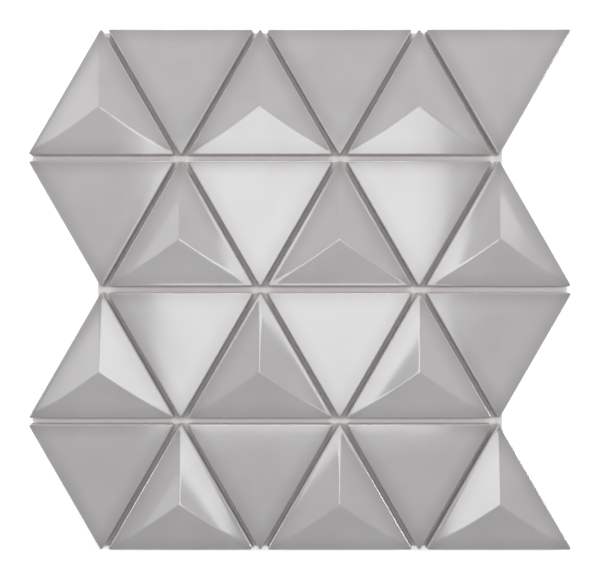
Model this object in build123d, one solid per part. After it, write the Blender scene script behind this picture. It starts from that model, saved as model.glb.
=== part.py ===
from build123d import *
import math
import os

# Mosaic sheet: equilateral ceramic tiles glued face up on one thin backing sheet.
# Millimetres, +Z out of the glazed faces, +Y up the sheet, row 1 at the top.
# The origin is the middle of the sheet's underside.

# One tile
tile_side = 81.2
edge_thickness = 6.0
wall_draft = 3.0
arris_radius = 0.7
foot_chamfer = 0.5
corner_radius = 1.0

# The raised face: three facets from the edges up to a peak
peak_rise = 4.6
peak_offset = 2.6
base_flare_slope = 7.2
base_flare_reach = 6.0
flank_flare_slope = 6.0
flank_flare_reach = 7.5

# Keying grooves pressed into the unglazed back
groove_depth = 0.5
groove_width = 4.0
groove_pitch = 8.0
groove_margin = 5.0

# Layout of the sheet; each tip reaches past its neighbours' level edges by the overlap,
# less what the rounding of its corner takes off
row_count = 4
tiles_per_row = 6
slanted_joint = 2.2
level_joint = 2.9
tip_overlap = 0.9

# Backing sheet, trimmed just inside the tiles and cut straight across each notch
backing_thickness = 0.5
backing_inset = 1.1
notch_overhang = 2.8
notch_cover = 2.0

# Worked out from the sizes above
tile_height = tile_side * math.sqrt(3) / 2
inradius = tile_height / 3
band_height = tile_height - tip_overlap
column_pitch = tile_side / 2 + (slanted_joint + tip_overlap / 2) / math.sin(math.radians(60))
row_pitch = band_height + level_joint
face_level = backing_thickness + edge_thickness
wall_inset = edge_thickness * math.tan(math.radians(wall_draft))
sheet_half_height = ((row_count - 1) * row_pitch + band_height) / 2
far_reach = 2 * tile_height


def column_x(column):
    """Middle of a tile across the sheet; columns run from 0 at the left."""
    return (column - (tiles_per_row - 1) / 2) * column_pitch


def row_y(row):
    """Middle height of a row up the sheet; rows run from 0 at the top."""
    return ((row_count - 1) / 2 - row) * row_pitch


def wall_outline():
    """Points of one edge's section below the face: inward distance, height."""
    return [
        (foot_chamfer, backing_thickness),
        (0, backing_thickness + foot_chamfer),
        (wall_inset, face_level),
    ]


def round_corner(section, corner, radius):
    """Round the section's corner that lies at the given point."""
    vertex = section.vertices().sort_by_distance((*corner, 0))[0]
    return fillet(vertex, radius)


def flat_section():
    """Section across one edge of a flat tile, running inward past the far side."""
    wall = wall_outline()
    points = wall + [(far_reach, face_level), (far_reach, backing_thickness)]
    section = make_face(Polyline(*points, close=True))
    return round_corner(section, wall[-1], arris_radius)


def facet_section(peak_distance, flare_slope, flare_reach):
    """Section across one edge of a raised tile.

    The face leaves the arris at the low flare slope, bends up on an arc, and
    runs straight through the peak, which lies peak_distance from the foot.
    """
    wall = wall_outline()
    slope = math.radians(flare_slope)
    bend = (wall_inset + flare_reach * math.cos(slope), face_level + flare_reach * math.sin(slope))
    run = peak_distance - bend[0]
    rise = face_level + peak_rise - bend[1]
    turn = math.atan2(rise, run) - slope
    far_height = bend[1] + (far_reach - bend[0]) * rise / run
    points = wall + [bend, (far_reach, far_height), (far_reach, backing_thickness)]
    section = make_face(Polyline(*points, close=True))
    section = round_corner(section, bend, flare_reach / math.tan(turn / 2))
    return round_corner(section, wall[-1], arris_radius)


def edge_bar(section, side):
    """The section run along one edge; side 0 is the base, 1 and 2 the others."""
    edge_plane = Plane(origin=(0, -inradius, 0), x_dir=(0, 1, 0), z_dir=(1, 0, 0))
    bar = extrude(edge_plane * section, amount=tile_side, both=True)
    return Rot(0, 0, 120 * side) * bar


def corner_prism():
    """Upright triangle at the foot outline with its three corners rounded."""
    triangle = RegularPolygon(2 * inradius, 3, rotation=90)
    rounded = fillet(triangle.vertices(), corner_radius)
    return extrude(rounded, amount=face_level + 2 * peak_rise)


def keying_grooves():
    """Blind grooves in the back, parallel to the base and clear of every edge."""
    margin_triangle = RegularPolygon(2 * (inradius - groove_margin), 3, rotation=90)
    grooves = Sketch()
    low = -inradius + groove_margin
    high = 2 * inradius - 2 * groove_margin - groove_width
    count = int((high - low) / groove_pitch) + 1
    for index in range(count):
        middle = low + index * groove_pitch + groove_width / 2
        grooves += Pos(0, middle) * Rectangle(tile_side, groove_width)
    outline = grooves & margin_triangle
    return Pos(0, 0, backing_thickness) * extrude(outline, amount=groove_depth)


def make_tile(sections):
    """One tile with its apex up the sheet, centred on the triangle's centre."""
    tile = corner_prism()
    for side, section in enumerate(sections):
        tile = tile & edge_bar(section, side)
    return tile - keying_grooves()


def raised_tile():
    """Tile with three facets; the peak sits above the centre, towards the apex."""
    base = facet_section(inradius + peak_offset, base_flare_slope, base_flare_reach)
    flank = facet_section(inradius - peak_offset / 2, flank_flare_slope, flank_flare_reach)
    return make_tile([base, flank, flank])


def flat_tile():
    """Tile with a level glazed face."""
    return make_tile([flat_section()] * 3)


def place_tile(tile, row, column, apex_up):
    """Set a tile in its place on the sheet; a flat tile is turned apex down."""
    drop = band_height / 2 - inradius
    if apex_up:
        return Pos(column_x(column), row_y(row) - drop, 0) * tile
    return Pos(column_x(column), row_y(row) + drop, 0) * Rot(0, 0, 180) * tile


def joint_level(line):
    """Middle height of a level joint; the first and last are the sheet's own edges."""
    level = sheet_half_height + level_joint / 2 - line * row_pitch
    return max(-sheet_half_height, min(sheet_half_height, level))


def is_notch(line, side):
    """Whether the zigzag side steps in at this level; side is -1 left, +1 right."""
    return line % 2 == (0 if side < 0 else 1)


def zigzag_side(side):
    """Corner points down one side of the sheet, from the top to the bottom."""
    inner = column_x(tiles_per_row - 1)
    points = []
    for line in range(row_count + 1):
        reach = inner if is_notch(line, side) else inner + tile_side / 2
        points.append((side * reach, joint_level(line)))
    return points


def notch_tabs():
    """Strips of backing that fill the notches out to a straight cut."""
    length = notch_overhang + notch_cover
    half_gap = level_joint / 2 + notch_overhang * math.sqrt(3)
    height = 2 * (half_gap + notch_cover)
    middle = column_x(tiles_per_row - 1) + notch_overhang - length / 2
    tabs = Sketch()
    for line in range(1, row_count):
        side = -1 if is_notch(line, -1) else 1
        tabs += Pos(side * middle, joint_level(line)) * Rectangle(length, height)
    return tabs


def backing_sheet():
    """Thin sheet under all the tiles, trimmed inside their outer edges."""
    outline = zigzag_side(-1) + zigzag_side(1)[::-1]
    whole = make_face(Polyline(*outline, close=True))
    trimmed = offset(whole, -backing_inset, kind=Kind.INTERSECTION)
    return extrude(trimmed + notch_tabs(), amount=backing_thickness)


def build_sheet():
    """Every piece of the sheet by its node name."""
    raised = raised_tile()
    flat = flat_tile()
    pieces = {"backing_sheet": backing_sheet()}
    for row in range(row_count):
        for column in range(tiles_per_row):
            apex_up = (row + column) % 2 == 0
            kind = "raised" if apex_up else "flat"
            name = f"{kind}_tile_row{row + 1}_col{column + 1}"
            pieces[name] = place_tile(raised if apex_up else flat, row, column, apex_up)
    return pieces


os.makedirs("parts", exist_ok=True)
for node, solid in build_sheet().items():
    export_step(solid, f"parts/{node}.step")
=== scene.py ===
import logging
import math
import random
from dataclasses import dataclass, field
from enum import Enum
from typing import Any, Iterator, Union

import bmesh
import bpy
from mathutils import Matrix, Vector


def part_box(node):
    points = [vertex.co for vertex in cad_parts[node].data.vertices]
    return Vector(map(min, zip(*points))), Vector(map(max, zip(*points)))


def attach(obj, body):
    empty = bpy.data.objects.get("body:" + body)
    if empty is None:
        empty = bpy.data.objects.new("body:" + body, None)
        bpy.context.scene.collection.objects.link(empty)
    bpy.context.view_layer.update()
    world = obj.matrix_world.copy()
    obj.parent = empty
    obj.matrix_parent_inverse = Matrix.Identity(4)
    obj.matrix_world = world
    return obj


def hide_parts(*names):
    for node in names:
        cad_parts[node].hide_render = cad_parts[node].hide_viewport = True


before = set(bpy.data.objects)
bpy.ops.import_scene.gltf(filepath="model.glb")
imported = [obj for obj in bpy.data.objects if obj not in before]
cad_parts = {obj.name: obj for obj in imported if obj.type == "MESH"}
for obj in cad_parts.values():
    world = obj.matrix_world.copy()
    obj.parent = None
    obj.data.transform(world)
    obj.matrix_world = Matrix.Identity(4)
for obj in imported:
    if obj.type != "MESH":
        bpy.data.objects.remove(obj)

# Looks of a sheet of triangular glazed tiles. Metres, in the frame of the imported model:
# +Z out of the glazed faces, +Y up the sheet.

log = logging.getLogger("tile_sheet")

MM = 0.001
MM_PER_METRE = 1000.0
SIN_60 = math.sin(math.radians(60))
COS_60 = math.cos(math.radians(60))

# Sockets of a Mix node that mixes colours
MIX_SHARE, MIX_FIRST, MIX_SECOND = 0, 6, 7
MIX_COLOUR = 2

Colour = tuple[float, float, float]
Point2 = tuple[float, float]
Point3 = tuple[float, float, float]


@dataclass(frozen=True)
class Noise:
    """Make-up of one layer of smooth noise about 0.5.

    The wavelength is the size of its largest features, in metres, detail the number of finer
    layers and roughness their strength. The weight says how much it counts where it is used.
    """

    wavelength: float
    detail: float = 2.0
    roughness: float = 0.5
    weight: float = 1.0


class Term:
    """A socket that takes part in sums, so the maths of a tree reads as formulas."""

    def __init__(self, bench: "Bench", socket: bpy.types.NodeSocket) -> None:
        """Wraps one output socket.

        Args:
            bench: The bench whose tree holds the socket.
            socket: The output socket.
        """
        self.bench = bench
        self.socket = socket

    def __add__(self, other: "Value") -> "Term":
        """Sum of two values."""
        return self.bench.maths("ADD", self, other)

    def __radd__(self, other: "Value") -> "Term":
        """Sum with a number on the left."""
        return self.bench.maths("ADD", other, self)

    def __sub__(self, other: "Value") -> "Term":
        """Difference of two values."""
        return self.bench.maths("SUBTRACT", self, other)

    def __rsub__(self, other: "Value") -> "Term":
        """Difference with a number on the left."""
        return self.bench.maths("SUBTRACT", other, self)

    def __mul__(self, other: "Value") -> "Term":
        """Product of two values."""
        return self.bench.maths("MULTIPLY", self, other)

    def __rmul__(self, other: "Value") -> "Term":
        """Product with a number on the left."""
        return self.bench.maths("MULTIPLY", other, self)

    def __truediv__(self, other: "Value") -> "Term":
        """Quotient of two values."""
        return self.bench.maths("DIVIDE", self, other)

    def held(self) -> "Term":
        """The value kept between 0 and 1."""
        return self.bench.maths("MINIMUM", self.bench.maths("MAXIMUM", self, 0.0), 1.0)

    def ramp(self, start: float, end: float) -> "Term":
        """A smooth step from 0 at start to 1 at end, which may lie below start.

        Args:
            start: The value that gives 0.
            end: The value that gives 1.

        Returns:
            The eased share.
        """
        share = ((self - start) / (end - start)).held()
        return share * share * (3.0 - 2.0 * share)


Value = Union[Term, float]


class Bench:
    """Lays out the nodes of one tree."""

    def __init__(self, tree: bpy.types.NodeTree) -> None:
        """Starts on a tree.

        Args:
            tree: A shader or geometry tree.
        """
        self.tree = tree

    def node(self, kind: str, settings: dict[str, Any] | None = None,
             inputs: dict[Any, Any] | None = None) -> bpy.types.Node:
        """Adds a node, sets it up and fills its sockets.

        Args:
            kind: The node's type.
            settings: Its own properties by name.
            inputs: A value, Term or socket for each input, by name or number.

        Returns:
            The node.
        """
        node = self.tree.nodes.new(kind)
        for name, value in (settings or {}).items():
            setattr(node, name, value)
        for name, value in (inputs or {}).items():
            socket = node.inputs[name]
            if isinstance(value, Term):
                self.tree.links.new(value.socket, socket)
            elif isinstance(value, bpy.types.NodeSocket):
                self.tree.links.new(value, socket)
            else:
                socket.default_value = value
        return node

    def term(self, node: bpy.types.Node, output: Any = 0) -> Term:
        """One output of a node as a Term."""
        return Term(self, node.outputs[output])

    def axes(self, vector: bpy.types.NodeSocket) -> tuple[Term, Term, Term]:
        """Takes a vector apart.

        Args:
            vector: The socket that gives it.

        Returns:
            Its x, y and z.
        """
        parts = self.node("ShaderNodeSeparateXYZ", None, {0: vector})
        return self.term(parts, 0), self.term(parts, 1), self.term(parts, 2)

    def maths(self, operation: str, *values: Value) -> Term:
        """Adds a Math node.

        Args:
            operation: The Math node's operation.
            values: Its operands.

        Returns:
            The result.
        """
        return self.term(self.node("ShaderNodeMath", {"operation": operation}, dict(enumerate(values))))

    def blend(self, share: Value, first: Any, second: Any) -> Term:
        """Mixes two colours.

        Args:
            share: 0 for the first colour, 1 for the second.
            first: A colour or a Term.
            second: A colour or a Term.

        Returns:
            The mixed colour.
        """
        ends = [end if isinstance(end, Term) else (*end, 1.0) for end in (first, second)]
        mix = self.node("ShaderNodeMix", {"data_type": "RGBA"}, {
            MIX_SHARE: share, MIX_FIRST: ends[0], MIX_SECOND: ends[1]})
        return self.term(mix, MIX_COLOUR)

    def noise(self, coords: bpy.types.NodeSocket, layer: Noise) -> Term:
        """Adds a layer of smooth noise.

        Args:
            coords: The coordinates that it reads.
            layer: Its make-up.

        Returns:
            The noise's value, before its weight.
        """
        made = self.node("ShaderNodeTexNoise", None, {
            "Vector": coords, "Scale": 1.0 / layer.wavelength,
            "Detail": layer.detail, "Roughness": layer.roughness})
        return self.term(made, 0)


class ShaderBench(Bench):
    """A material's tree with its surface shader."""

    def __init__(self, name: str) -> None:
        """Makes a material.

        Args:
            name: The material's name.
        """
        self.material = bpy.data.materials.new(name)
        self.material.use_nodes = True
        super().__init__(self.material.node_tree)
        self.tree.nodes.clear()
        self.coords = self.node("ShaderNodeTexCoord").outputs["Object"]

    def attribute(self, name: str) -> Term:
        """A number stored on the mesh."""
        return self.term(self.node("ShaderNodeAttribute", {"attribute_name": name}), "Fac")

    def scaled(self, scale: Point3) -> bpy.types.NodeSocket:
        """Object coordinates times a scale on each axis; one under 1 draws a pattern out."""
        return self.node("ShaderNodeMapping", None, {"Vector": self.coords, "Scale": scale}).outputs[0]

    def finish(self, shader_inputs: dict[str, Any], relief: Term,
               relief_depth: float) -> bpy.types.Material:
        """Adds the surface shader.

        Args:
            shader_inputs: Values and links of the surface shader.
            relief: Height of the fine relief, as a share.
            relief_depth: Depth in metres of a share of 1.

        Returns:
            The material.
        """
        bump = self.node("ShaderNodeBump", None, {
            "Strength": 1.0, "Distance": relief_depth, "Height": relief})
        shader = self.node("ShaderNodeBsdfPrincipled", None, {**shader_inputs, "Normal": bump.outputs[0]})
        self.node("ShaderNodeOutputMaterial", None, {"Surface": shader.outputs[0]})
        return self.material


@dataclass(frozen=True)
class GlazeFinish:
    """Glossy grey glaze over a pale fired body, which is bare on the back and low on the walls.

    The arris band is given as distances from the wall in millimetres, and the glaze line as a
    height above the tile's back.
    """

    light: Colour = (0.381, 0.370, 0.375)
    dark: Colour = (0.354, 0.344, 0.348)
    # Lighter colour for the arris: glaze running thin there, and partly a painted highlight.
    thin_glaze_and_highlight: Colour = (0.52, 0.505, 0.505)
    body: Colour = (0.50, 0.475, 0.45)
    body_grain: Colour = (0.60, 0.575, 0.55)
    clouds: Noise = Noise(28 * MM, 3.0, weight=0.75)
    cloud_edges: Point2 = (0.35, 0.65)
    flecks: Noise = Noise(1.1 * MM, 3.0, 0.6, weight=0.15)
    rim_shade: float = 0.16
    arris_band: Point2 = (0.15, 0.75)
    thin_and_highlight_share: float = 0.35
    glaze_line: float = 2.6 * MM
    line_softness: float = 0.15 * MM
    line_wander: Noise = Noise(5 * MM, weight=1.6 * MM)
    gloss: float = 0.11
    smears: Noise = Noise(22 * MM, weight=0.03)
    smear_scale: Point3 = (1.0, 0.55, 1.0)
    body_roughness: float = 0.78
    index: float = 1.7
    ripples: Noise = Noise(17 * MM, 1.0, weight=0.55)
    peel: Noise = Noise(2.3 * MM, 1.0, weight=0.012)
    grain: Noise = Noise(0.6 * MM, 4.0, 0.65, weight=0.9)
    grain_edges: Point2 = (0.3, 0.7)
    relief_depth: float = 0.06 * MM

    def material(self, name: str, foot: float) -> bpy.types.Material:
        """Makes the material.

        Args:
            name: Its name.
            foot: Height of the tiles' backs.

        Returns:
            The material.
        """
        bench = ShaderBench(name)
        grain = bench.noise(bench.coords, self.grain)
        biscuit = bench.blend(grain.ramp(*self.grain_edges), self.body, self.body_grain)
        glazed = self._glazed_share(bench, foot + self.glaze_line)
        bare = 1.0 - glazed
        colour = bench.blend(glazed, biscuit, self._glaze_colour(bench))

        smears = bench.noise(bench.scaled(self.smear_scale), self.smears)
        glaze_roughness = self.gloss + (smears - 0.5) * self.smears.weight
        roughness = glaze_roughness * glazed + bare * self.body_roughness

        ripples = bench.noise(bench.coords, self.ripples)
        peel = bench.noise(bench.coords, self.peel)
        glaze_relief = ripples * self.ripples.weight + peel * self.peel.weight
        relief = glaze_relief * glazed + grain * self.grain.weight * bare
        inputs = {"Base Color": colour, "Roughness": roughness, "IOR": self.index}
        return bench.finish(inputs, relief, self.relief_depth)

    def _glaze_colour(self, bench: ShaderBench) -> Term:
        """Colour of the glaze: clouded, darker along the rims, and lighter over the arris with thin glaze
        and a painted highlight.

        Args:
            bench: The material's bench.

        Returns:
            The colour.
        """
        clouds = bench.noise(bench.coords, self.clouds).ramp(*self.cloud_edges)
        flecks = bench.noise(bench.coords, self.flecks)
        tone = clouds * self.clouds.weight + flecks * self.flecks.weight + bench.attribute("tone")
        glaze = bench.blend(tone.held(), self.dark, self.light)
        shade = 1.0 - bench.attribute("rim") * self.rim_shade
        scaling = bench.node("ShaderNodeVectorMath", {"operation": "SCALE"}, {
            "Vector": glaze, "Scale": shade})
        # The arris band is lightened: thin glaze and, in part, a painted highlight.
        on_arris = 1.0 - bench.attribute("inset").ramp(*self.arris_band)
        return bench.blend(on_arris * self.thin_and_highlight_share, bench.term(scaling), self.thin_glaze_and_highlight)

    def _glazed_share(self, bench: ShaderBench, line: float) -> Term:
        """Where the glaze covers the body.

        Args:
            bench: The material's bench.
            line: Height at which the glaze ends, on average.

        Returns:
            1 above the wandering line, 0 below it.
        """
        _, _, height = bench.axes(bench.coords)
        wander = (bench.noise(bench.coords, self.line_wander) - 0.5) * self.line_wander.weight
        return (height + wander).ramp(line - self.line_softness, line + self.line_softness)


@dataclass(frozen=True)
class FilmFinish:
    """Off-white bonded fibre of the backing sheet, with painted light where tile corners meet.

    Those meetings lie a column step apart in each level joint, and half a step over in the next.
    The lighter patch there is painted light, standing for the light that reaches the film through
    the wider gap; it is full within one distance of a meeting and gone at a larger one. The upper
    heights keep the patches to the film's upper side.
    """

    light: Colour = (0.562, 0.530, 0.531)
    dark: Colour = (0.503, 0.474, 0.472)
    # Painted light: colour of the film where more light reaches it at a meeting of tile corners.
    painted_junction_light: Colour = (0.632, 0.600, 0.588)
    column_step: float = 87.32 * MM
    row_step: float = 72.32 * MM
    patch_full: float = 4.5 * MM
    patch_end: float = 7.5 * MM
    patch_edge: Noise = Noise(1.5 * MM, weight=2.0 * MM)
    upper_full: float = 0.4 * MM
    upper_end: float = 0.3 * MM
    fibres: Noise = Noise(0.35 * MM, 2.0, 0.7, weight=0.7)
    fibre_draw: float = 0.12
    mottle: Noise = Noise(12 * MM, 3.0, weight=0.5)
    tone_drop: float = 0.15
    roughness: float = 0.72
    roughness_spread: float = 0.2
    index: float = 1.45
    relief_depth: float = 0.12 * MM

    def junction_share(self, bench: ShaderBench) -> Term:
        """How near a point lies to a meeting of tile corners.

        Args:
            bench: The material's bench.

        Returns:
            1 at a junction, 0 well away from it and on the underside.
        """
        x, y, height = bench.axes(bench.coords)
        line = bench.maths("ROUND", y / self.row_step)
        start = bench.maths("COSINE", line * math.pi) * (-self.column_step / 4)
        half = self.column_step / 2
        across = bench.maths("WRAP", x - start, half, -half)
        along = y - line * self.row_step
        ragged = (bench.noise(bench.coords, self.patch_edge) - 0.5) * self.patch_edge.weight
        distance = bench.maths("SQRT", across * across + along * along) + ragged
        near = distance.ramp(self.patch_end, self.patch_full)
        return near * height.ramp(self.upper_end, self.upper_full)

    def material(self, name: str) -> bpy.types.Material:
        """Makes the material.

        Args:
            name: Its name.

        Returns:
            The material.
        """
        bench = ShaderBench(name)
        up = bench.noise(bench.scaled((1.0, self.fibre_draw, 1.0)), self.fibres)
        across = bench.noise(bench.scaled((self.fibre_draw, 1.0, 1.0)), self.fibres)
        fibres = bench.maths("MAXIMUM", up, across)
        mottle = bench.noise(bench.coords, self.mottle)
        tone = fibres * self.fibres.weight + mottle * self.mottle.weight - self.tone_drop
        colour = bench.blend(tone.held(), self.dark, self.light)
        # Painted light: the film is lightened at each meeting of tile corners.
        colour = bench.blend(self.junction_share(bench), colour, self.painted_junction_light)
        roughness = self.roughness + (mottle - 0.5) * self.roughness_spread
        inputs = {"Base Color": colour, "Roughness": roughness, "IOR": self.index}
        return bench.finish(inputs, fibres, self.relief_depth)


@dataclass(frozen=True)
class YarnFinish:
    """Glass-fibre yarn of the scrim, stiff with binder."""

    light: Colour = (0.86, 0.855, 0.84)
    dark: Colour = (0.66, 0.65, 0.63)
    strands: Noise = Noise(0.25 * MM, 3.0, 0.7, weight=0.8)
    mottle: Noise = Noise(9 * MM, weight=0.4)
    tone_drop: float = 0.1
    roughness: float = 0.42
    roughness_spread: float = 0.2
    index: float = 1.5
    relief_depth: float = 0.05 * MM

    def material(self, name: str) -> bpy.types.Material:
        """Makes the material.

        Args:
            name: Its name.

        Returns:
            The material.
        """
        bench = ShaderBench(name)
        strands = bench.noise(bench.coords, self.strands)
        mottle = bench.noise(bench.coords, self.mottle)
        tone = strands * self.strands.weight + mottle * self.mottle.weight - self.tone_drop
        colour = bench.blend(tone.held(), self.dark, self.light)
        roughness = self.roughness + mottle * self.roughness_spread
        inputs = {"Base Color": colour, "Roughness": roughness, "IOR": self.index}
        return bench.finish(inputs, strands, self.relief_depth)


@dataclass(frozen=True)
class FloorFinish:
    """Plain pale studio floor with a faint glow of its own."""

    light: Colour = (0.93, 0.93, 0.93)
    dark: Colour = (0.90, 0.90, 0.90)
    clouds: Noise = Noise(0.4)
    glow: float = 0.3
    roughness: float = 0.85
    sheen: float = 0.2
    relief_depth: float = 0.05 * MM

    def material(self, name: str) -> bpy.types.Material:
        """Makes the material.

        Args:
            name: Its name.

        Returns:
            The material.
        """
        bench = ShaderBench(name)
        clouds = bench.noise(bench.coords, self.clouds)
        colour = bench.blend(clouds, self.dark, self.light)
        inputs = {"Base Color": colour, "Roughness": self.roughness, "Specular IOR Level": self.sheen,
                  "Emission Color": colour, "Emission Strength": self.glow}
        return bench.finish(inputs, clouds, self.relief_depth)


class FaceStyle(Enum):
    """The two kinds of tile; the value starts the node's name."""

    RAISED = "raised"
    FLAT = "flat"


class GeometryBench(Bench):
    """A geometry tree with named inputs."""

    def __init__(self, name: str) -> None:
        """Makes an empty tree with a geometry input and output.

        Args:
            name: The tree's name.
        """
        super().__init__(bpy.data.node_groups.new(name, "GeometryNodeTree"))
        self.tree.interface.new_socket("Geometry", in_out="INPUT", socket_type="NodeSocketGeometry")
        self.tree.interface.new_socket("Geometry", in_out="OUTPUT", socket_type="NodeSocketGeometry")
        self.entry = self.node("NodeGroupInput")
        self.exit = self.node("NodeGroupOutput")
        self.identifiers: dict[str, str] = {}

    def size(self, name: str, kind: str = "NodeSocketFloat") -> Term:
        """Adds a named input.

        Args:
            name: The input's name.
            kind: The socket's type.

        Returns:
            The input inside the tree.
        """
        item = self.tree.interface.new_socket(name, in_out="INPUT", socket_type=kind)
        self.identifiers[name] = item.identifier
        return self.term(self.entry, name)

    def position(self) -> tuple[Term, Term, Term]:
        """Where each point of the geometry lies."""
        return self.axes(self.node("GeometryNodeInputPosition").outputs[0])

    def close(self, geometry: bpy.types.NodeSocket, material: Term) -> None:
        """Ends the tree in real geometry with its material.

        Args:
            geometry: What the tree made.
            material: The material input.
        """
        real = self.node("GeometryNodeRealizeInstances", None, {0: geometry})
        dressed = self.node("GeometryNodeSetMaterial", None, {
            "Geometry": real.outputs[0], "Material": material})
        self.tree.links.new(dressed.outputs[0], self.exit.inputs[0])

    def apply(self, mesh: bpy.types.Mesh, name: str, values: dict[str, Any]) -> bpy.types.Object:
        """Runs the tree on a mesh and keeps the result as a plain mesh.

        Args:
            mesh: The mesh that goes in.
            name: The name of the piece.
            values: A value for each named input.

        Returns:
            The piece, with no modifier.
        """
        piece = bpy.data.objects.new(name, mesh)
        bpy.context.scene.collection.objects.link(piece)
        modifier = piece.modifiers.new("shape", "NODES")
        modifier.node_group = self.tree
        for label, value in values.items():
            modifier[self.identifiers[label]] = value
        piece.update_tag()
        depsgraph = bpy.context.evaluated_depsgraph_get()
        plain = bpy.data.meshes.new_from_object(piece.evaluated_get(depsgraph))
        piece.modifiers.clear()
        piece.data = plain
        plain.name = name
        return piece


@dataclass(frozen=True)
class TileSizes:
    """Sizes that every tile shares; the foot is the height of its back, the draft is in degrees."""

    side: float = 81.2 * MM
    foot: float = 0.5 * MM
    thickness: float = 6.0 * MM
    draft: float = 3.0
    arris: float = 0.7 * MM
    foot_chamfer: float = 0.5 * MM
    corner: float = 1.0 * MM
    groove_depth: float = 0.5 * MM
    groove_width: float = 4.0 * MM
    groove_pitch: float = 8.0 * MM
    groove_margin: float = 5.0 * MM

    @property
    def foot_inradius(self) -> float:
        """Distance from the middle to an edge of the foot."""
        return self.side * math.sqrt(3) / 6

    @property
    def face_level(self) -> float:
        """Height of a flat face."""
        return self.foot + self.thickness

    @property
    def face_inradius(self) -> float:
        """Distance from the middle to the wall where the arris begins."""
        return self.foot_inradius - (self.thickness - self.arris) * math.tan(math.radians(self.draft))


@dataclass(frozen=True)
class Climb:
    """Section of a facet: a narrow level rim, a low slope in degrees, and a bend into the full one."""

    rim: float
    edge_slope: float
    bend: float

    def slopes(self, reach: float, rise: float) -> tuple[float, float]:
        """Rise per length before and past the bend.

        Args:
            reach: Distance from the edge to the peak.
            rise: Height of the peak over the edge.

        Returns:
            Both slopes.
        """
        edge = math.tan(math.radians(self.edge_slope))
        return edge, (rise - edge * (self.bend - self.rim)) / (reach - self.bend)


@dataclass(frozen=True)
class FaceForm:
    """How one kind of face rises from its edges to its peak, and how soft its ridges are."""

    rise: float
    peak_x: float
    peak_y: float
    base: Climb
    flank: Climb
    ridge_softness: float
    corner_softness: float


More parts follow.
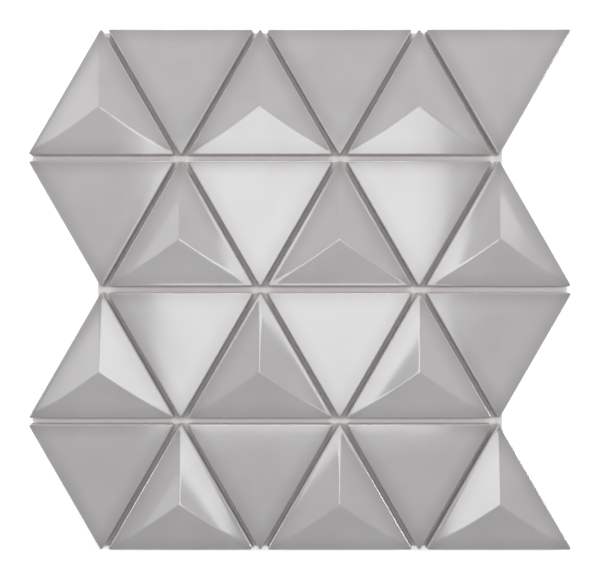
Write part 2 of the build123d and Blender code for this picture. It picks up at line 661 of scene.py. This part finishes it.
@dataclass
class TileField:
    """All the tiles of the sheet, each in the place of its CAD node.

    Leans are rises per length across a tile and up it: a small chance one for every tile, and
    a set one on top for the tiles that sit askew. Side shares say where an edge has points, from
    each end to its middle, and ring distances where a face has rings, in millimetres from its edge.
    """

    sizes: TileSizes = field(default_factory=TileSizes)
    glaze: GlazeFinish = field(default_factory=GlazeFinish)
    forms: dict[FaceStyle, FaceForm] = field(default_factory=lambda: {
        FaceStyle.RAISED: FaceForm(
            rise=4.75 * MM, peak_x=-0.3 * MM, peak_y=2.6 * MM,
            base=Climb(rim=0.9 * MM, edge_slope=7.4, bend=6.0 * MM),
            flank=Climb(rim=1.2 * MM, edge_slope=8.6, bend=9.5 * MM),
            ridge_softness=0.32 * MM, corner_softness=0.60 * MM),
        FaceStyle.FLAT: FaceForm(
            rise=0.03 * MM, peak_x=0.0, peak_y=0.0,
            base=Climb(rim=0.5 * MM, edge_slope=0.4, bend=4.0 * MM),
            flank=Climb(rim=0.5 * MM, edge_slope=0.4, bend=4.0 * MM),
            ridge_softness=0.01 * MM, corner_softness=0.01 * MM),
    })
    rim_width: float = 9.5 * MM
    lean: float = 0.0009
    set_leans: dict[str, Point2] = field(default_factory=lambda: {
        "raised_tile_row1_col1": (-0.014, 0.0),
        "raised_tile_row2_col6": (0.0, 0.016),
    })
    tone_spread: float = 0.10
    seed: int = 11
    sharp_angle: float = 40.0

    arris_steps: int = 7
    corner_steps: int = 4
    wall_steps: int = 4
    side_shares: tuple[float, ...] = (
        0.0, 0.006, 0.014, 0.024, 0.037, 0.055, 0.08, 0.115, 0.165, 0.23, 0.31, 0.40)
    ring_distances: tuple[float, ...] = (
        0.95, 1.25, 1.6, 2.1, 2.8, 3.7, 4.7, 5.8, 7.0, 8.3,
        9.7, 11.2, 12.8, 14.5, 16.3, 18.0, 19.6, 20.8, 21.6)
    ring_limit: float = 0.97
    peak_shares: tuple[float, ...] = (0.975, 0.99)

    def outline(self, inradius: float) -> list[Point2]:
        """Rounded triangle with its apex up, with points gathered towards the corners.

        Args:
            inradius: Distance from the middle to each side.

        Returns:
            The points, anticlockwise from the right of the apex.
        """
        radius = self.sizes.corner
        straight = 2 * (inradius - radius) * math.sqrt(3)
        tip = 2 * (inradius - radius)
        steps = [*self.side_shares, 0.5, *(1 - share for share in reversed(self.side_shares[1:]))]
        points = []
        for corner in range(3):
            turn = math.radians(90 + 120 * corner)
            centre = (tip * math.cos(turn), tip * math.sin(turn))
            for step in range(self.corner_steps):
                angle = turn + math.radians(-60 + 120 * step / self.corner_steps)
                points.append((centre[0] + radius * math.cos(angle), centre[1] + radius * math.sin(angle)))
            out = turn + math.radians(60)
            start = (centre[0] + radius * math.cos(out), centre[1] + radius * math.sin(out))
            ahead = out + math.radians(90)
            for share in steps:
                run = straight * share
                points.append((start[0] + run * math.cos(ahead), start[1] + run * math.sin(ahead)))
        return points

    def face_steps(self) -> list[float]:
        """Works out where the face has its rings.

        Returns:
            Shares of the way from the outline to the peak, close together over the arris.
        """
        inradius = self.sizes.face_inradius
        shares = []
        for step in range(self.arris_steps + 1):
            angle = math.radians(90 * step / self.arris_steps)
            shares.append(self.sizes.arris * (1 - math.cos(angle)) / inradius)
        reach = shares[-1]
        for distance in self.ring_distances:
            share = distance * MM / inradius
            if reach < share < self.ring_limit:
                shares.append(share)
        return [*shares, *self.peak_shares]

    def blank(self, form: FaceForm) -> bmesh.types.BMesh:
        """A tile with a level face, with its middle at the origin and its apex up.

        Args:
            form: The face, for the place of its peak.

        Returns:
            The closed mesh, with the face's corners marked in the layer face.
        """
        sizes = self.sizes
        made = bmesh.new()
        face = made.verts.layers.bool.new("face")
        top = self.outline(sizes.face_inradius)
        hub = (form.peak_x, form.peak_y)
        low = sizes.foot + sizes.foot_chamfer
        high = sizes.face_level - sizes.arris
        rings = []
        for points, height in self._wall_rings(low, high):
            rings.append([made.verts.new((x, y, height)) for x, y in points])
        for share in self.face_steps():
            ring = []
            for x, y in top:
                place = (hub[0] + (1 - share) * (x - hub[0]), hub[1] + (1 - share) * (y - hub[1]))
                ring.append(made.verts.new((*place, sizes.face_level)))
                ring[-1][face] = True
            rings.append(ring)
        count = len(top)
        for lower, upper in zip(rings, rings[1:]):
            for index in range(count):
                after = (index + 1) % count
                made.faces.new((lower[index], lower[after], upper[after], upper[index]))
        peak = made.verts.new((*hub, sizes.face_level))
        peak[face] = True
        for index in range(count):
            made.faces.new((rings[-1][index], rings[-1][(index + 1) % count], peak))
        self._add_back(made, rings[0])
        bmesh.ops.recalc_face_normals(made, faces=made.faces)
        return made

    def _wall_rings(self, low: float, high: float) -> Iterator[tuple[list[Point2], float]]:
        """The outlines of the wall, from the back up to just under the arris.

        Args:
            low: Height where the foot's chamfer meets the wall.
            high: Height where the arris begins.

        Yields:
            Each outline and its height.
        """
        sizes = self.sizes
        yield self.outline(sizes.foot_inradius - sizes.foot_chamfer), sizes.foot
        for step in range(self.wall_steps):
            share = step / self.wall_steps
            inradius = sizes.foot_inradius + (sizes.face_inradius - sizes.foot_inradius) * share
            yield self.outline(inradius), low + (high - low) * share

    def _add_back(self, made: bmesh.types.BMesh, rim: list[bmesh.types.BMVert]) -> None:
        """Closes the back, with keying grooves pressed into it.

        Args:
            made: The tile's mesh.
            rim: The ring of the back's edge.
        """
        sizes = self.sizes
        edges = [made.edges.get((a, b)) for a, b in zip(rim, rim[1:] + rim[:1])]
        inner = sizes.foot_inradius - sizes.groove_margin
        low = -inner
        high = 2 * inner - sizes.groove_width
        for index in range(int((high - low) / sizes.groove_pitch) + 1):
            start = low + index * sizes.groove_pitch
            end = start + sizes.groove_width
            widths = [(2 * inner - level) / math.sqrt(3) for level in (start, end)]
            corners = [(-widths[0], start), (widths[0], start), (widths[1], end), (-widths[1], end)]
            mouth = [made.verts.new((x, y, sizes.foot)) for x, y in corners]
            bed = [made.verts.new((x, y, sizes.foot + sizes.groove_depth)) for x, y in corners]
            for a in range(4):
                b = (a + 1) % 4
                edges.append(made.edges.new((mouth[a], mouth[b])))
                made.faces.new((mouth[a], mouth[b], bed[b], bed[a]))
            made.faces.new(bed)
        bmesh.ops.triangle_fill(made, use_beauty=True, edges=edges)

    def relief_tree(self) -> GeometryBench:
        """Geometry tree that shapes a face by its distances to the three edges.

        Returns:
            The tree. Each edge has its own climb; the face is the lowest of the
            three, taken softly, so they meet in ridges that fade at the corners.
        """
        bench = GeometryBench("face_relief")
        size = bench.size
        centre_x, centre_y, turn = size("Centre X"), size("Centre Y"), size("Turn")
        inradius, hub_reach, level = size("Inradius"), size("Hub Reach"), size("Face Level")
        base_climb = size("Base Rim"), size("Base Edge Slope"), size("Base Slope"), size("Base Bend")
        flank_rim, flank_edge, flank_bend = size("Flank Rim"), size("Flank Edge Slope"), size("Flank Bend")
        left_climb = flank_rim, flank_edge, size("Left Slope"), flank_bend
        right_climb = flank_rim, flank_edge, size("Right Slope"), flank_bend
        ridge_softness, corner_softness = size("Ridge Softness"), size("Corner Softness")
        arris, rim_width = size("Arris Radius"), size("Rim Width")
        lean_x, lean_y, tone = size("Lean X"), size("Lean Y"), size("Tone")
        material = size("Material", "NodeSocketMaterial")

        x, y, _ = bench.position()
        across = (x - centre_x) * turn
        up = (y - centre_y) * turn
        from_base = inradius + up
        from_left = inradius + across * SIN_60 - up * COS_60
        from_right = inradius - across * SIN_60 - up * COS_60
        nearest = bench.maths("MINIMUM", bench.maths("MINIMUM", from_left, from_right), from_base)

        def climb(distance: Term, section: tuple[Term, Term, Term, Term]) -> Term:
            """Height of a facet.

            Args:
                distance: Distance from its edge.
                section: Its rim, edge slope, full slope and bend.

            Returns:
                The height over the edge.
            """
            rim, edge, full, bend = section
            start = bench.maths("SMOOTH_MAX", distance - rim, 0.0, rim)
            return edge * start + (full - edge) * bench.maths("SMOOTH_MAX", distance - bend, 0.0, bend)

        away = (1.0 - nearest / hub_reach).held()
        softness = ridge_softness + (corner_softness - ridge_softness) * away * away
        left, right = climb(from_left, left_climb), climb(from_right, right_climb)
        flanks = bench.maths("SMOOTH_MIN", left, right, softness)
        rise = bench.maths("SMOOTH_MIN", flanks, climb(from_base, base_climb), softness)
        edge_share = 1.0 - (nearest / arris).held()
        drop = arris * (1.0 - bench.maths("SQRT", (1.0 - edge_share * edge_share).held()))
        height = level + rise - drop + lean_x * across + lean_y * up
        edge_distances = (from_base, from_left, from_right)
        rim = sum(1.0 - (distance / rim_width).ramp(0.0, 1.0) for distance in edge_distances)

        target = bench.node("ShaderNodeCombineXYZ", None, {0: x, 1: y, 2: height})
        on_face = bench.node("GeometryNodeInputNamedAttribute", {"data_type": "BOOLEAN"}, {"Name": "face"})
        shaped = bench.node("GeometryNodeSetPosition", None, {
            "Geometry": bench.entry.outputs[0], "Selection": on_face.outputs[0],
            "Position": target.outputs[0]})
        stored = shaped.outputs[0]
        for name, value in (("inset", nearest * MM_PER_METRE), ("rim", rim), ("tone", tone)):
            store = bench.node(
                "GeometryNodeStoreNamedAttribute", {"data_type": "FLOAT", "domain": "POINT"},
                {"Geometry": stored, "Name": name, "Value": value})
            stored = store.outputs[0]
        bench.close(stored, material)
        return bench

    def form_inputs(self, form: FaceForm) -> dict[str, float]:
        """The relief tree's inputs for one kind of face.

        Args:
            form: The face.

        Returns:
            The inputs by name.
        """
        inradius = self.sizes.face_inradius
        hub_reach = inradius - form.peak_y / 2
        base_edge, base_full = form.base.slopes(inradius + form.peak_y, form.rise)
        flank_edge, left_full = form.flank.slopes(hub_reach + form.peak_x * SIN_60, form.rise)
        _, right_full = form.flank.slopes(hub_reach - form.peak_x * SIN_60, form.rise)
        return {
            "Inradius": inradius,
            "Hub Reach": hub_reach,
            "Face Level": self.sizes.face_level,
            "Base Rim": form.base.rim,
            "Base Edge Slope": base_edge,
            "Base Slope": base_full,
            "Base Bend": form.base.bend,
            "Flank Rim": form.flank.rim,
            "Flank Edge Slope": flank_edge,
            "Left Slope": left_full,
            "Right Slope": right_full,
            "Flank Bend": form.flank.bend,
            "Ridge Softness": form.ridge_softness,
            "Corner Softness": form.corner_softness,
            "Arris Radius": self.sizes.arris,
            "Rim Width": self.rim_width,
        }

    def build(self) -> list[bpy.types.Object]:
        """Makes every tile.

        Returns:
            The pieces.
        """
        relief = self.relief_tree()
        material = self.glaze.material("grey_glaze", self.sizes.foot)
        blanks = {style: self.blank(form) for style, form in self.forms.items()}
        chance = random.Random(self.seed)
        pieces = []
        for node in sorted(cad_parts):
            style = next((style for style in FaceStyle if node.startswith(style.value)), None)
            if style is None:
                continue
            low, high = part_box(node)
            turn = 1.0 if style is FaceStyle.RAISED else -1.0
            centre_x = (low[0] + high[0]) / 2
            base = low[1] if turn > 0 else high[1]
            centre_y = base + turn * self.sizes.foot_inradius
            mesh = bpy.data.meshes.new(node)
            blanks[style].to_mesh(mesh)
            for vert in mesh.vertices:
                x, y, z = vert.co
                vert.co = (centre_x + turn * x, centre_y + turn * y, z)
            set_lean = self.set_leans.get(node, (0.0, 0.0))
            values = self.form_inputs(self.forms[style]) | {
                "Centre X": centre_x,
                "Centre Y": centre_y,
                "Turn": turn,
                "Lean X": set_lean[0] + chance.uniform(-self.lean, self.lean),
                "Lean Y": set_lean[1] + chance.uniform(-self.lean, self.lean),
                "Tone": chance.uniform(-self.tone_spread, self.tone_spread),
                "Material": material,
            }
            piece = relief.apply(mesh, f"{node}_glazed", values)
            piece.data.shade_smooth()
            piece.data.set_sharp_from_angle(angle=math.radians(self.sharp_angle))
            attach(piece, "root")
            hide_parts(node)
            pieces.append(piece)
        for made in blanks.values():
            made.free()
        return pieces


@dataclass
class BackingSheet:
    """The backing: a bonded fibre film with a woven scrim on its underside.

    The yarns are low enough to show under the film, with their upper sides sunk into it, and
    their waves stay clear of the floor. The margin is how far they stop short of its edge.
    """

    node: str = "backing_sheet"
    film_underside: float = 0.2 * MM
    pitch: float = 6.0 * MM
    yarn_width: float = 0.95 * MM
    yarn_thickness: float = 0.2 * MM
    wave: float = 0.07 * MM
    yarn_level: float = 0.175 * MM
    margin: float = 0.8 * MM
    steps_per_pitch: int = 2
    yarn_sides: int = 6
    weld_distance: float = 0.001 * MM
    level_tolerance: float = 0.01 * MM
    upright_limit: float = 0.5
    film_finish: FilmFinish = field(default_factory=FilmFinish)
    yarn_finish: YarnFinish = field(default_factory=YarnFinish)

    def film(self) -> bpy.types.Object:
        """The film, with the outline of the CAD sheet.

        Returns:
            The piece.
        """
        made = bmesh.new()
        made.from_mesh(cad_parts[self.node].data)
        bmesh.ops.remove_doubles(made, verts=made.verts, dist=self.weld_distance)
        for vert in made.verts:
            vert.co.z = max(vert.co.z, self.film_underside)
        bmesh.ops.recalc_face_normals(made, faces=made.faces)
        mesh = bpy.data.meshes.new("backing_film")
        made.to_mesh(mesh)
        made.free()
        mesh.materials.clear()
        mesh.materials.append(self.film_finish.material("bonded_fibre"))
        mesh.shade_flat()
        piece = bpy.data.objects.new("backing_film", mesh)
        bpy.context.scene.collection.objects.link(piece)
        return piece

    def edge_lines(self, film: bpy.types.Object) -> list[tuple[Vector, Vector]]:
        """The film's outline as pairs of end points.

        Args:
            film: The film.

        Returns:
            Each straight stretch of its upper rim.
        """
        made = bmesh.new()
        made.from_mesh(film.data)
        top = max(vert.co.z for vert in made.verts)
        lines = []
        for edge in made.edges:
            ends = [vert.co.copy() for vert in edge.verts]
            level = all(abs(end.z - top) < self.level_tolerance for end in ends)
            upright = [abs(face.normal.z) < self.upright_limit for face in edge.link_faces]
            if level and any(upright) and not all(upright):
                lines.append((ends[0], ends[1]))
        made.free()
        return lines

    def spans(self, lines: list[tuple[Vector, Vector]], axis: int, place: float) -> list[Point2]:
        """Where a yarn across the sheet lies inside the outline.

        Args:
            lines: The outline.
            axis: 0 for a yarn at a fixed x, 1 for one at a fixed y.
            place: That fixed coordinate.

        Returns:
            Start and end of each stretch along the other axis.
        """
        cuts = []
        for a, b in lines:
            if (a[axis] > place) != (b[axis] > place):
                share = (place - a[axis]) / (b[axis] - a[axis])
                cuts.append(a[1 - axis] + share * (b[1 - axis] - a[1 - axis]))
        cuts.sort()
        pairs = zip(cuts[::2], cuts[1::2])
        return [(start + self.margin, end - self.margin)
                for start, end in pairs if end - start > self.pitch]

    def yarn_lines(self, lines: list[tuple[Vector, Vector]]) -> bpy.types.Mesh:
        """The yarns' centre lines, with the way each one starts its wave.

        Args:
            lines: The film's outline.

        Returns:
            A mesh of edges with the attribute weave.
        """
        points: list[Point3] = []
        edges: list[tuple[int, int]] = []
        weave: list[float] = []
        step = self.pitch / self.steps_per_pitch
        for axis, sign in ((0, 1.0), (1, -1.0)):
            reach = max(abs(end[axis]) for line in lines for end in line)
            count = int(reach / self.pitch)
            for index in range(-count, count + 1):
                for start, end in self.spans(lines, axis, index * self.pitch):
                    first, last = math.ceil(start / step), math.floor(end / step)
                    stops = [start] + [stop * step for stop in range(first, last + 1)] + [end]
                    for number, along in enumerate(stops):
                        place = (index * self.pitch, along) if axis == 0 else (along, index * self.pitch)
                        points.append((*place, self.yarn_level))
                        weave.append(sign)
                        if number:
                            edges.append((len(points) - 2, len(points) - 1))
        mesh = bpy.data.meshes.new("scrim_lines")
        mesh.from_pydata(points, edges, [])
        layer = mesh.attributes.new("weave", "FLOAT", "POINT")
        layer.data.foreach_set("value", weave)
        return mesh

    def yarn_tree(self) -> GeometryBench:
        """Geometry tree that waves the lines over and under each other and gives them their section.

        Returns:
            The tree.
        """
        bench = GeometryBench("woven_scrim")
        size = bench.size
        pitch, wave = size("Pitch"), size("Wave")
        width, thickness = size("Yarn Width"), size("Yarn Thickness")
        material = size("Material", "NodeSocketMaterial")
        x, y, _ = bench.position()
        weave = bench.node("GeometryNodeInputNamedAttribute", {"data_type": "FLOAT"}, {"Name": "weave"})
        phase = (x + y) / pitch * math.pi
        shift = bench.maths("COSINE", phase) * wave * bench.term(weave)
        offset = bench.node("ShaderNodeCombineXYZ", None, {2: shift})
        waved = bench.node("GeometryNodeSetPosition", None, {
            "Geometry": bench.entry.outputs[0], "Offset": offset.outputs[0]})
        curve = bench.node("GeometryNodeMeshToCurve", None, {0: waved.outputs[0]})
        level = bench.node("GeometryNodeSetCurveNormal", {"mode": "Z_UP"}, {0: curve.outputs[0]})
        # A ring 1 m across, which the oval's scale takes to the yarn's width and thickness
        circle = bench.node("GeometryNodeCurvePrimitiveCircle", None, {
            "Resolution": self.yarn_sides, "Radius": 0.5})
        oval = bench.node("ShaderNodeCombineXYZ", None, {0: width, 1: thickness, 2: 1.0})
        section = bench.node("GeometryNodeTransform", None, {
            "Geometry": circle.outputs[0], "Scale": oval.outputs[0]})
        solid = bench.node("GeometryNodeCurveToMesh", None, {
            "Curve": level.outputs[0], "Profile Curve": section.outputs[0], "Fill Caps": True})
        smooth = bench.node("GeometryNodeSetShadeSmooth", None, {"Geometry": solid.outputs[0]})
        bench.close(smooth.outputs[0], material)
        return bench

    def build(self) -> list[bpy.types.Object]:
        """Makes the film and its scrim.

        Returns:
            The pieces.
        """
        film = self.film()
        lines = self.yarn_lines(self.edge_lines(film))
        scrim = self.yarn_tree().apply(lines, "backing_scrim", {
            "Pitch": self.pitch,
            "Wave": self.wave,
            "Yarn Width": self.yarn_width,
            "Yarn Thickness": self.yarn_thickness,
            "Material": self.yarn_finish.material("glass_yarn"),
        })
        for piece in (film, scrim):
            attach(piece, "root")
            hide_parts(self.node)
        return [film, scrim]


@dataclass(frozen=True)
class Panel:
    """A rectangular light that faces the middle of the sheet; angles are in degrees.

    The zenith angle is from straight up and the azimuth from the sheet's right. The shift moves
    the light up the sheet without turning it.
    """

    name: str
    width: float
    height: float
    radiance: float
    distance: float
    zenith: float
    azimuth: float
    shift: float = 0.0

    def build(self, target: Vector) -> None:
        """Adds the light.

        Args:
            target: The point that it is aimed at.
        """
        lamp = bpy.data.lights.new(self.name, "AREA")
        lamp.shape = "RECTANGLE"
        lamp.size = self.width
        lamp.size_y = self.height
        lamp.energy = math.pi * self.width * self.height * self.radiance
        zenith, azimuth = math.radians(self.zenith), math.radians(self.azimuth)
        flat = math.sin(zenith)
        ahead = Vector((math.cos(azimuth) * flat, math.sin(azimuth) * flat, math.cos(zenith)))
        light = bpy.data.objects.new(self.name, lamp)
        light.location = target + ahead * self.distance + Vector((0.0, self.shift, 0.0))
        light.rotation_euler = (-ahead).to_track_quat("-Z", "Y").to_euler()
        bpy.context.scene.collection.objects.link(light)


@dataclass
class Studio:
    """Floor, lights and camera; the frame width is what the picture spans at the faces' level."""

    face_level: float
    camera_height: float = 0.550
    frame_width: float = 0.3291
    sensor: float = 36.0
    panels: tuple[Panel, ...] = (
        Panel("softbox", width=0.384, height=0.369, radiance=4.35,
              distance=0.775, zenith=0.0, azimuth=90.0),
        Panel("key", width=0.40, height=0.40, radiance=11.0,
              distance=1.0, zenith=58.0, azimuth=91.5),
        Panel("left_panel", width=0.87, height=0.56, radiance=1.5,
              distance=1.0, zenith=50.2, azimuth=176.0, shift=0.06),
        Panel("left_strip", width=0.16, height=0.40, radiance=18.0,
              distance=1.3, zenith=57.0, azimuth=175.0),
        Panel("right_strip", width=0.18, height=0.45, radiance=27.0,
              distance=1.2, zenith=57.0, azimuth=5.0),
        Panel("right_panel", width=0.16, height=0.42, radiance=2.2,
              distance=1.2, zenith=49.0, azimuth=26.0),
    )
    fill: float = 0.16
    floor_side: float = 8.0
    floor_finish: FloorFinish = field(default_factory=FloorFinish)

    def floor(self) -> None:
        """Adds the floor that the sheet lies on."""
        half = self.floor_side / 2
        corners = [(-half, -half, 0.0), (half, -half, 0.0), (half, half, 0.0), (-half, half, 0.0)]
        mesh = bpy.data.meshes.new("floor")
        mesh.from_pydata(corners, [], [(0, 1, 2, 3)])
        mesh.materials.append(self.floor_finish.material("pale_floor"))
        floor = bpy.data.objects.new("floor", mesh)
        bpy.context.scene.collection.objects.link(floor)

    def camera(self) -> None:
        """Adds the camera straight above the middle of the sheet."""
        lens = bpy.data.cameras.new("camera")
        lens.sensor_width = self.sensor
        lens.sensor_fit = "HORIZONTAL"
        lens.lens = self.sensor * self.camera_height / self.frame_width
        camera = bpy.data.objects.new("camera", lens)
        camera.location = (0.0, 0.0, self.face_level + self.camera_height)
        bpy.context.scene.collection.objects.link(camera)
        bpy.context.scene.camera = camera

    def build(self) -> None:
        """Sets up the whole studio."""
        self.camera()
        self.floor()
        for panel in self.panels:
            panel.build(Vector((0.0, 0.0, self.face_level)))
        world = bpy.data.worlds.new("studio")
        world.use_nodes = True
        background = world.node_tree.nodes["Background"]
        background.inputs["Color"].default_value = (self.fill, self.fill, self.fill, 1.0)
        bpy.context.scene.world = world
        bpy.context.scene.view_settings.view_transform = "Standard"


def main() -> None:
    logging.basicConfig(level=logging.INFO, format="%(name)s: %(message)s")
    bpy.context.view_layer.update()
    tiles = TileField()
    parts = tiles.build() + BackingSheet().build()
    for piece in parts:
        log.info("%s: %d faces", piece.name, len(piece.data.polygons))
    Studio(face_level=tiles.sizes.face_level).build()


if __name__ == "__main__":
    main()
